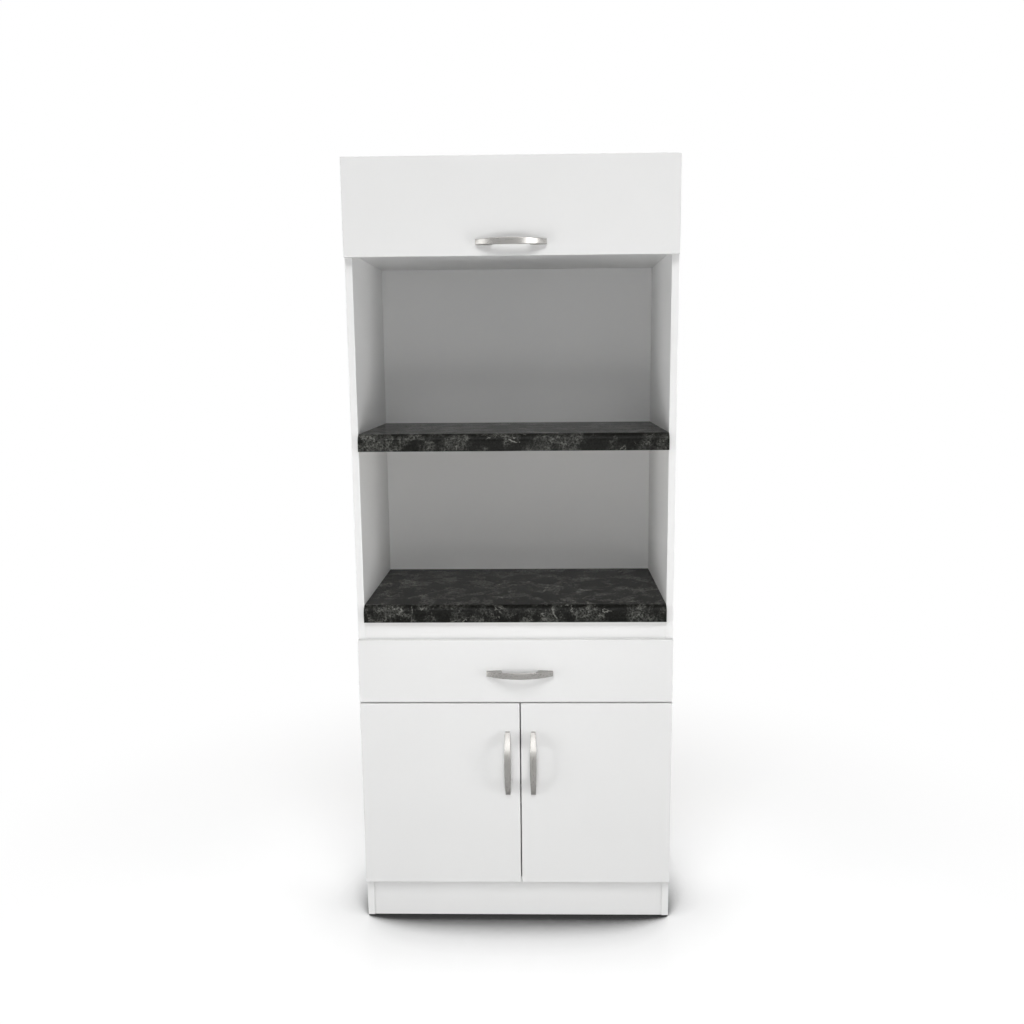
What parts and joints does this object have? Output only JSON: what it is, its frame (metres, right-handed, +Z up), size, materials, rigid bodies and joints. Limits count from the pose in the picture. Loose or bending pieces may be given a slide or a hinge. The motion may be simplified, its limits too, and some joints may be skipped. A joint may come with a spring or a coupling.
{
  "type": "microwave stand with drawer",
  "caption": "Tall white kitchen cabinet with two open oven niches on dark worktops, a lift-up flap, a drawer and a pair of doors.",
  "frame": {"origin": "on the floor, under the middle of the overall width and depth", "axes": "+X to the right seen from the front, +Y to the back, +Z up"},
  "size_m": [0.72, 0.4462, 1.745],
  "materials": {
    "white_board": "satin white melamine",
    "thin_board": "white lacquered fibreboard",
    "dark_laminate": "satin laminate, dark stone pattern",
    "satin_nickel": "satin nickel",
    "zinc_plated": "zinc plated",
    "white_steel": "white epoxy coat",
    "dark_steel": "black lacquer",
    "bright_steel": "hard chromed",
    "plastic": "moulded nylon",
    "beech": "bare beech"
  },
  "bodies": {
    "carcass": {"apron_rail": "white_board", "back_lower": "thin_board", "back_nails": "zinc_plated", "back_upper": "thin_board", "bottom_panel": "white_board", "cam_bolts": "zinc_plated", "cam_housings": "zinc_plated", "cupboard_floor": "white_board", "dowels": "beech", "drawer_rail": "white_board", "glides": "plastic", "hinge_arms": "zinc_plated", "hinge_plate_screws": "zinc_plated", "hinge_plates": "zinc_plated", "lower_worktop": "dark_laminate", "plinth": "white_board", "runner_channel_screws": "zinc_plated", "runner_channels": "white_steel", "shelf": "white_board", "shelf_pins": "zinc_plated", "side_left": "white_board", "side_right": "white_board", "stay_cabinet_studs": "zinc_plated", "top_panel": "white_board", "upper_worktop": "dark_laminate"},
    "channel_rollers": {"channel_rollers": "plastic"},
    "drawer": {"drawer_back": "white_board", "drawer_bottom": "thin_board", "drawer_box_screws": "zinc_plated", "drawer_dowels": "beech", "drawer_front": "white_board", "drawer_handle": "satin_nickel", "drawer_handle_screws": "zinc_plated", "drawer_runner_screws": "zinc_plated", "drawer_runners": "white_steel", "drawer_side_left": "white_board", "drawer_side_right": "white_board"},
    "drawer_rollers": {"drawer_rollers": "plastic"},
    "door_left_outer_links": {"door_left_outer_links": "zinc_plated"},
    "door_left_inner_links": {"door_left_inner_links": "zinc_plated"},
    "door_left": {"door_left": "white_board", "door_left_handle": "satin_nickel", "door_left_handle_screws": "zinc_plated", "door_left_hinge_cups": "zinc_plated"},
    "door_right_outer_links": {"door_right_outer_links": "zinc_plated"},
    "door_right_inner_links": {"door_right_inner_links": "zinc_plated"},
    "door_right": {"door_right": "white_board", "door_right_handle": "satin_nickel", "door_right_handle_screws": "zinc_plated", "door_right_hinge_cups": "zinc_plated"},
    "flap_outer_links": {"flap_outer_links": "zinc_plated"},
    "flap_inner_links": {"flap_inner_links": "zinc_plated"},
    "flap": {"flap": "white_board", "flap_handle": "satin_nickel", "flap_handle_screws": "zinc_plated", "flap_hinge_cups": "zinc_plated", "flap_stay_brackets": "zinc_plated"},
    "stay_cylinders": {"stay_cylinders": "dark_steel"},
    "stay_rods": {"stay_rods": "bright_steel"}
  },
  "joints": [
    {"name": "drawer_slide", "type": "slide", "parent": "carcass", "child": "drawer", "axis": [0, -1, 0], "range_m": [0, 0.26]},
    {"name": "channel_roller_spin", "type": "hinge", "parent": "carcass", "child": "channel_rollers", "pos_m": [0, -0.16365, 0.5764], "axis": [1, 0, 0], "range_deg": [0, 1817.7]},
    {"name": "drawer_roller_spin", "type": "hinge", "parent": "drawer", "child": "drawer_rollers", "pos_m": [0, 0.15585, 0.5735], "axis": [1, 0, 0], "range_deg": [0, 1817.7]},
    {"name": "door_left_outer_link_turn", "type": "hinge", "parent": "carcass", "child": "door_left_outer_links", "pos_m": [-0.325, -0.17365, 0.32], "axis": [0, 0, 1], "range_deg": [0, 14.05]},
    {"name": "door_left_inner_link_turn", "type": "hinge", "parent": "carcass", "child": "door_left_inner_links", "pos_m": [-0.319, -0.17365, 0.32], "axis": [0, 0, 1], "range_deg": [0, 22.83]},
    {"name": "door_left_swing", "type": "hinge", "parent": "door_left_outer_links", "child": "door_left", "pos_m": [-0.35, -0.18665, 0.32], "axis": [0, 0, -1], "range_deg": [0, 114]},
    {"name": "door_right_outer_link_turn", "type": "hinge", "parent": "carcass", "child": "door_right_outer_links", "pos_m": [0.325, -0.17365, 0.32], "axis": [0, 0, -1], "range_deg": [0, 14.05]},
    {"name": "door_right_inner_link_turn", "type": "hinge", "parent": "carcass", "child": "door_right_inner_links", "pos_m": [0.319, -0.17365, 0.32], "axis": [0, 0, -1], "range_deg": [0, 22.83]},
    {"name": "door_right_swing", "type": "hinge", "parent": "door_right_outer_links", "child": "door_right", "pos_m": [0.35, -0.18665, 0.32], "axis": [0, 0, 1], "range_deg": [0, 114]},
    {"name": "flap_outer_link_turn", "type": "hinge", "parent": "carcass", "child": "flap_outer_links", "pos_m": [0, -0.17365, 1.71], "axis": [1, 0, 0], "range_deg": [0, 14.05]},
    {"name": "flap_inner_link_turn", "type": "hinge", "parent": "carcass", "child": "flap_inner_links", "pos_m": [0, -0.17365, 1.704], "axis": [1, 0, 0], "range_deg": [0, 22.83]},
    {"name": "flap_lift", "type": "hinge", "parent": "flap_outer_links", "child": "flap", "pos_m": [0, -0.18665, 1.735], "axis": [-1, 0, 0], "range_deg": [0, 114]},
    {"name": "stay_turn", "type": "hinge", "parent": "carcass", "child": "stay_cylinders", "pos_m": [0, -0.02765, 1.588], "axis": [1, 0, 0], "range_deg": [0, 6.14]},
    {"name": "stay_stroke", "type": "slide", "parent": "stay_cylinders", "child": "stay_rods", "axis": [0, -0.8098, 0.5867], "range_m": [0, 0.0895]}
  ],
  "couplings": [
    {"joint": "channel_roller_spin", "follows": "drawer_slide", "rad_per_m": 121.95},
    {"joint": "drawer_roller_spin", "follows": "drawer_slide", "rad_per_m": 121.95},
    {"joint": "door_left_outer_link_turn", "follows": "door_left_swing", "ratio": 0.12281},
    {"joint": "door_left_inner_link_turn", "follows": "door_left_swing", "ratio": 0.19983},
    {"joint": "door_right_outer_link_turn", "follows": "door_right_swing", "ratio": 0.12281},
    {"joint": "door_right_inner_link_turn", "follows": "door_right_swing", "ratio": 0.19983},
    {"joint": "flap_outer_link_turn", "follows": "flap_lift", "ratio": 0.12281},
    {"joint": "flap_inner_link_turn", "follows": "flap_lift", "ratio": 0.19983},
    {"joint": "stay_turn", "follows": "flap_lift", "ratio": 0.053432},
    {"joint": "stay_stroke", "follows": "flap_lift", "m_per_rad": 0.044931}
  ]
}
